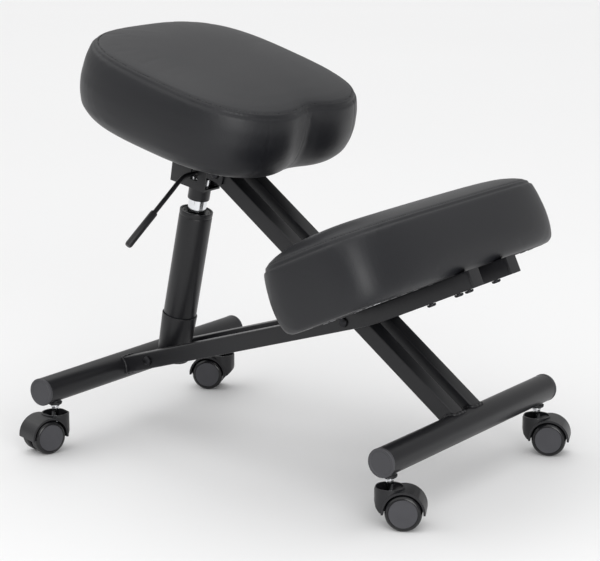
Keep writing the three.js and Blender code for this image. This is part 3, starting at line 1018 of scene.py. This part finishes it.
class CHAIR_OT_cross_tubes(Piece, bpy.types.Operator):
    """Builds the two round cross tubes and their end caps"""

    bl_idname = "chair.cross_tubes"
    bl_label = "Cross tubes"

    def build(self, scene):
        for word, y, half, body in (
            ("front", FRONT_TUBE_Y, FRONT_TUBE_HALF, "front_frame"),
            ("rear", REAR_TUBE_Y, REAR_TUBE_HALF, "rear_frame"),
        ):
            profile = fillet(
                [(18, -half), (TUBE_R, -half), (TUBE_R, half), (18, half)], 0.5, closed=True)
            place = Matrix.Translation((0, y, TUBE_Z)) @ Matrix.Rotation(math.pi / 2, 4, "Y")
            put(f"{word}_tube", *turned(profile, TURNS_FINE), place, body, "powder",
                f"{word}_cross_tube")
            for side, hand in ((-1, "left"), (1, "right")):
                r = TUBE_R + 0.35
                profile = fillet([
                    (0, -8), (17.4, -8), (17.4, 0.3), (r, 0.3), (r, CAP_T), (r - 3.2, CAP_T),
                    (r - 4.2, CAP_T - 1.1), (0, CAP_T - 0.7)], 1.1)
                place = Matrix.Translation((side * half, y, TUBE_Z))
                place = place @ Matrix.Rotation(side * math.pi / 2, 4, "Y")
                put(f"{word}_tube_cap_{hand}", *turned(profile, TURNS_FINE), place, body,
                    "cap", f"{word}_cap_{hand}")


def weld_loop(x_mid, base, slope, tube_y):
    """Loop where a square tube meets a round cross tube, as points."""
    outline = square_outline(SQ / 2 + 0.2, 3)
    dense = []
    for i, a in enumerate(outline):
        b = outline[(i + 1) % len(outline)]
        steps = max(1, int((Vector(b) - Vector(a)).length / 1.2))
        dense += [tuple(Vector(a).lerp(Vector(b), k / steps)) for k in range(steps)]
    d = Vector((math.cos(slope), math.sin(slope)))
    n = Vector((-d.y, d.x))
    out = []
    for x, v in dense:
        start = Vector(base) + n * v - Vector((tube_y, TUBE_Z))
        b = start.dot(d)
        c = start.dot(start) - (TUBE_R + 0.4) ** 2
        t = math.sqrt(max(0.0, b * b - c)) - b
        p = Vector(base) + n * v + d * t
        out.append((x_mid + x, p.x, p.y))
    return out


class CHAIR_OT_bars(Piece, bpy.types.Operator):
    """Builds the twin bars, the twin diagonal rails, their plugs, welds and bolts"""

    bl_idname = "chair.bars"
    bl_label = "Bars and rails"

    def build(self, scene):
        weld = scene.chair_frame.weld_size
        start = along(LIFT_PIVOT, FRAME_PIVOT, REAR_TUBE_Y - 4)
        bend = []
        a = Vector(along(LIFT_PIVOT, FRAME_PIVOT, BAR_KINK[0] + BEND_REACH))
        b = Vector(along(BAR_KINK, KNEE_RAIL_END, BAR_KINK[0] - BEND_REACH))
        mid = Vector(BAR_KINK)
        for k in range(9):
            t = k / 8
            bend.append(tuple((1 - t) ** 2 * a + 2 * t * (1 - t) * mid + t * t * b))
        for side, hand in ((-1, "left"), (1, "right")):
            shape = square_tube([start, *bend, KNEE_RAIL_END], side * BAR_X)
            put(f"rear_bar_{hand}", *shape, HERE, "rear_frame", "powder", f"bar_{hand}")
            slope = math.atan2(FRAME_PIVOT[1] - LIFT_PIVOT[1], FRAME_PIVOT[0] - LIFT_PIVOT[0])
            self.weld(f"rear_weld_{hand}", side * BAR_X, start, slope, REAR_TUBE_Y, weld,
                      "rear_frame")
            low = diag_at(FRONT_TUBE_Y - 2)
            top = diag_at(TOP_PIVOT[0] + 12)
            shape = square_tube([low, diag_at(-100), top], side * RAIL_X)
            put(f"diagonal_rail_{hand}", *shape, HERE, "front_frame", "powder", f"rail_{hand}")
            self.weld(f"front_weld_{hand}", side * RAIL_X, low, math.atan(DIAG_SLOPE),
                      FRONT_TUBE_Y, weld, "front_frame")
            dress(f"knee_rail_plug_{hand}", "plastic", 1.2)
            dress(f"rail_bolt_{hand}", "steel", 0.3)
            for i in (1, 2):
                dress(f"knee_bolt_{hand}_{i}", "steel", 0.3)
        for node in ("lift_pivot_bolt", "frame_pivot_bolt", "top_pivot_bolt"):
            dress(node, "steel", 0.4)

    def weld(self, name, x, base, slope, tube_y, size, body):
        loop = weld_loop(x, base, slope, tube_y)
        count = len(loop)

        def section(t):
            beads = 0.16 * math.sin(t * count * 0.9)
            return circle(size * (1 + beads + 0.08 * math.sin(t * count * 0.37 + 1)), 10)

        put(name, *sweep(loop, section, closed=True), HERE, body, "powder")


class CHAIR_OT_gas_lift(Piece, bpy.types.Operator):
    """Builds the lift socket, column, guide bush and chrome rod"""

    bl_idname = "chair.gas_lift"
    bl_label = "Gas lift"

    def build(self, scene):
        place = lift_place()
        socket = fillet([
            (0, SOCKET_BOTTOM), (24.2, SOCKET_BOTTOM), (26.7, SOCKET_TOP), (24.9, SOCKET_TOP),
            (24.4, 40), (22.6, 7), (0, 7)], 1.2)
        put("socket_sleeve", *turned(socket), place, "gas_column", "powder", "lift_socket")
        top = COLUMN_TOP
        column = fillet([
            (19.5, 8), (22, 8), (24.2, SOCKET_TOP - 1), (COLUMN_R, SOCKET_TOP + 1.5),
            (COLUMN_R, top - 9), (COLUMN_R - 0.5, top - 8), (COLUMN_R - 0.5, top - 7),
            (COLUMN_R, top - 6), (COLUMN_R, top), (22.2, top), (22.2, SOCKET_TOP)],
            0.8, closed=True)
        put("column_tube", *turned(column), place, "gas_column", "powder", "lift_column")
        bush = fillet([
            (ROD_R + 0.3, top - 24), (21.9, top - 24), (21.9, top - 1.2), (19.5, top - 1.2),
            (17.2, top - 4.5), (ROD_R + 0.3, top - 4.5)], 0.7, closed=True)
        put("guide_bush", *turned(bush), place, "gas_column", "rim",
            "lift_bush")
        rod = fillet([
            (0, ROD_BOTTOM), (ROD_R, ROD_BOTTOM), (ROD_R, COLLAR_BOTTOM + 3),
            (ROD_R - 0.8, ROD_TOP), (4.1, ROD_TOP), (4.1, ROD_TOP - 12), (0, ROD_TOP - 12)], 0.8)
        put("chrome_rod", *turned(rod), place, "seat", "chrome", "lift_rod")


class CHAIR_OT_seat_mount(Piece, bpy.types.Operator):
    """Finishes the plate, channel, bracket and release pin under the seat"""

    bl_idname = "chair.seat_mount"
    bl_label = "Seat mount"

    def build(self, scene):
        dress("seat_plate", "powder", 0.6)
        dress("lift_channel", "powder", 0.5)
        dress("top_bracket", "powder", 0.6)
        dress("release_pin", "steel", 0.3)
        self.screws()

    def screws(self):
        profile = fillet([(0, -7.2), (3.4, -6.6), (4.4, -5.2), (4.6, -3.4), (0, -3.4)], 0.5)
        for i, (x, y) in enumerate(((-62, -54), (62, -54), (-62, 48), (62, 48))):
            place = seat_place() @ Matrix.Translation((x, y, 0))
            put(f"seat_plate_screw_{i + 1}", *turned(profile, 24), place, "seat", "steel")


class CHAIR_OT_lever(Piece, bpy.types.Operator):
    """Builds the height lever and its sleeve"""

    bl_idname = "chair.lever"
    bl_label = "Height lever"

    def build(self, scene):
        place = lift_place()

        def at(length):
            return (-46 - length * math.cos(LEVER_DROP), 0, LEVER_Z - length * math.sin(LEVER_DROP))

        path = smooth_path([
            (9, 0, LEVER_Z), (-16, 0, LEVER_Z), (-38, 0, LEVER_Z), at(9), at(36), at(124)], 10)
        shape = sweep(path, lambda t: circle(3.5))
        put("lever_wire", *shape, place, "lever", "powder", "lever_rod")
        profile = fillet([(3.8, 0), (5.2, 0), (5.6, 2), (5.6, 63), (4.6, 66), (0, 66)], 0.9)
        profile += [(0, 52), (3.8, 52)]
        turn = Matrix.Rotation(-math.pi / 2 - LEVER_DROP, 4, "Y")
        place = place @ Matrix.Translation(at(73)) @ turn
        put("lever_grip", *turned(profile, 32), place, "lever", "plastic", "lever_sleeve")


def bar_x(profile, half):
    """Solid with a side profile in (y, z), carried across X."""
    count = len(profile)
    verts = [(-half, y, z) for y, z in profile] + [(half, y, z) for y, z in profile]
    faces = [tuple(range(count)), tuple(range(count, 2 * count))[::-1]]
    for i in range(count):
        j = (i + 1) % count
        faces.append((i, j, count + j, count + i))
    return solid_of(verts, faces)


def rod_x(radius, low, high, segments=64):
    verts, faces = turned([(0, low), (radius, low), (radius, high), (0, high)], segments)
    return solid_of([(z, x, y) for x, y, z in verts], faces)


def rod_z(radius, low, high, y, segments=48):
    verts, faces = turned([(0, low), (radius, low), (radius, high), (0, high)], segments)
    return solid_of([(x, yy + y, z) for x, yy, z in verts], faces)


def hood_mesh():
    """Caster hood in its own millimetres, wheel axis at the origin."""
    cover = [(0.0, 0.0)]
    for i in range(33):
        t = math.radians(-6 + i * 189 / 32)
        cover.append((29.6 * math.cos(t), 29.6 * math.sin(t)))
    drop = fillet([
        (-4, 31), (40.2, 31), (40.2, 12), (37.5, 4), (32, -1.5), (25, -3), (0, 0)], 4, closed=True)
    web = [(16, -7), (20, 6), (-20, 6), (-16, -7), (-8, -13), (8, -13)]
    cup = combine(bar_x(drop, 21.5), [
        ("INTERSECT", rod_z(20.3, -20, 40, TRAIL)),
    ])
    hollow = combine(rod_z(18.2, 7, 50, TRAIL), [
        ("DIFFERENCE", rod_x(29.1, -30, 30)),
        ("DIFFERENCE", rod_z(8.4, 0, 22, TRAIL, 32)),
    ])
    body = combine(bar_x(cover, 21), [
        ("UNION", cup),
        ("UNION", bar_x(web, 4.2)),
        ("DIFFERENCE", rod_x(26.7, 4.2, 30)),
        ("DIFFERENCE", rod_x(26.7, -30, -4.2)),
        ("DIFFERENCE", hollow),
        ("DIFFERENCE", rod_x(3.3, -30, 30, 24)),
        ("DIFFERENCE", rod_z(STEM_R + 0.3, 14, 60, TRAIL, 32)),
    ])
    soft = body.modifiers.new("edge", "BEVEL")
    soft.width = 0.0009
    soft.segments = 3
    soft.limit_method = "ANGLE"
    soft.angle_limit = math.radians(35)
    data = settled(body)
    bpy.data.objects.remove(body)
    return data


class CHAIR_OT_casters(Piece, bpy.types.Operator):
    """Builds the four twin-wheel casters"""

    bl_idname = "chair.casters"
    bl_label = "Casters"

    def build(self, scene):
        hood = hood_mesh()
        r = WHEEL_R
        w = WHEEL_T
        wheel_profile = [
            (3.3, 0), (r - 3, 0), (r - 1.2, 0.5), (r - 0.3, 1.6), (r, 3.2), (r, w - 5.2),
            (r - 0.3, w - 3.8), (r - 1.2, w - 2.4), (r - 2.6, w - 1.0), (r - 4.0, w - 0.3),
            (r - 5.0, w - 0.1), (r - 5.6, w - 0.9), (r - 6.4, w - 1.1), (8.0, w - 0.8),
            (0, w - 0.7), (0, w - 4), (3.3, w - 4)]
        # Finish of each band: 0 tread, 1 rim, 2 disc. The band on the axis has no faces.
        bands = [1, 1, 0, 0, 0, 1, 1, 1, 1, 1, 1, 2, 2, 2, 1, 1]
        groups = [index for index in bands for _ in range(TURNS_FINE)]
        for word, x, y, degrees in CASTERS:
            turn = math.radians(degrees)
            place = Matrix.Translation(
                (x + TRAIL * math.sin(turn), y - TRAIL * math.cos(turn), WHEEL_R))
            place = place @ Matrix.Rotation(turn, 4, "Z")
            body = f"caster_{word}"
            data = hood.copy()
            metres = place.copy()
            metres.translation *= MM
            data.transform(metres)
            data.materials.clear()
            place_mesh(f"{body}_cover", data, body, "plastic",
                       f"{body}_hood")
            top = TUBE_Z - WHEEL_R - 4
            stem = fillet([
                (0, 15), (STEM_R, 15), (STEM_R, 40.5), (6.6, 40.5), (6.6, 42), (STEM_R, 42),
                (STEM_R, top), (0, top + 1.5)], 0.4)
            put(f"{body}_pin", *turned(stem, 40), place @ Matrix.Translation((0, TRAIL, 0)), body,
                "chrome", f"{body}_stem")
            dress(f"{body}_axle", "steel", 0.2)
            dress(f"{body}_insert", "plastic", 0.4)
            for side, letter in ((-1, "a"), (1, "b")):
                verts, faces = turned(wheel_profile, TURNS_FINE)
                spot = place @ Matrix.Translation((side * WHEEL_GAP / 2, 0, 0))
                spot = spot @ Matrix.Rotation(side * math.pi / 2, 4, "Y")
                node = f"{body}_wheel_{letter}"
                data = mesh_of(f"{node}_tyre", [spot @ Vector(v) * MM for v in verts], faces,
                               merge=False)
                place_mesh(f"{node}_tyre", data, node, "tread rim disc",
                           node, groups)


class CHAIR_OT_stage(Piece, bpy.types.Operator):
    """Builds the floor, the lights and the camera"""

    bl_idname = "chair.stage"
    bl_label = "Stage"

    def build(self, scene):
        props = scene.chair_stage
        bpy.ops.mesh.primitive_plane_add(size=FLOOR_SIZE, location=(0, 0, 0))
        floor = bpy.context.object
        floor.name = "floor"
        colour = props.floor_colour
        material = finish("floor paint", lambda at: {
            "Base Color": mix_colour(
                noise(at, 0.6, 3.0), shade(colour, 0.985), shade(colour, 1.01)),
            "Roughness": 0.6,
        })
        floor.data.materials.append(material)
        world = bpy.data.worlds.new("surround")
        scene.world = world
        scene.view_settings.view_transform = "Standard"
        world.use_nodes = True
        back = world.node_tree.nodes["Background"]
        back.inputs["Color"].default_value = (1, 1, 1, 1)
        back.inputs["Strength"].default_value = props.sky
        self.key_light(props.key_power)
        self.overhead_light(props.top_power)
        self.camera(scene, props.lens)

    def key_light(self, power):
        data = bpy.data.lights.new("key_light", "AREA")
        data.shape = "SQUARE"
        data.size = KEY_SIZE
        data.energy = power
        made = linked("key_light", data)
        made.location = KEY_PLACE
        self.face(made, Vector(KEY_AIM) - Vector(KEY_PLACE))

    def overhead_light(self, power):
        data = bpy.data.lights.new("overhead_light", "SUN")
        data.energy = power
        data.angle = math.radians(SUN_SPREAD)
        made = linked("overhead_light", data)
        made.rotation_euler = (math.radians(SUN_TURN[0]), math.radians(SUN_TURN[1]), 0)

    def camera(self, scene, lens):
        data = bpy.data.cameras.new("camera")
        data.lens = lens
        data.sensor_width = SENSOR_MM
        made = linked("camera", data)
        made.location = CAMERA_PLACE
        azimuth, elevation = math.radians(CAMERA_AZIMUTH), math.radians(CAMERA_ELEVATION)
        flat = math.cos(elevation)
        self.face(made, -Vector((math.sin(azimuth) * flat, -math.cos(azimuth) * flat,
                                 math.sin(elevation))))
        scene.camera = made

    def face(self, made, direction):
        made.rotation_mode = "QUATERNION"
        made.rotation_quaternion = direction.to_track_quat("-Z", "Y")


ORDER = (
    CHAIR_OT_finishes,
    CHAIR_OT_seat_pad,
    CHAIR_OT_knee_pad,
    CHAIR_OT_cross_tubes,
    CHAIR_OT_bars,
    CHAIR_OT_gas_lift,
    CHAIR_OT_seat_mount,
    CHAIR_OT_lever,
    CHAIR_OT_casters,
    CHAIR_OT_stage,
)


class CHAIR_PT_panel(bpy.types.Panel):
    """Lists the pieces of the chair"""

    bl_idname = "CHAIR_PT_panel"
    bl_label = "Kneeling Chair"
    bl_space_type = "VIEW_3D"
    bl_region_type = "UI"
    bl_category = "Kneeling Chair"

    def draw(self, context):
        scene = context.scene
        for group in (scene.chair_leather, scene.chair_frame, scene.chair_stage):
            for key in setting_names(group):
                self.layout.prop(group, key)
        for operator in ORDER:
            self.layout.operator(operator.bl_idname)


CLASSES = (ChairLeather, ChairFrame, ChairStage, *ORDER, CHAIR_PT_panel)


def register():
    for item in CLASSES:
        bpy.utils.register_class(item)
    bpy.types.Scene.chair_leather = bpy.props.PointerProperty(type=ChairLeather)
    bpy.types.Scene.chair_frame = bpy.props.PointerProperty(type=ChairFrame)
    bpy.types.Scene.chair_stage = bpy.props.PointerProperty(type=ChairStage)


def unregister():
    for name in ("chair_leather", "chair_frame", "chair_stage"):
        delattr(bpy.types.Scene, name)
    for item in reversed(CLASSES):
        bpy.utils.unregister_class(item)


def main():
    register()
    for operator in ORDER:
        group, name = operator.bl_idname.split(".")
        getattr(getattr(bpy.ops, group), name)()


if __name__ == "__main__":
    main()
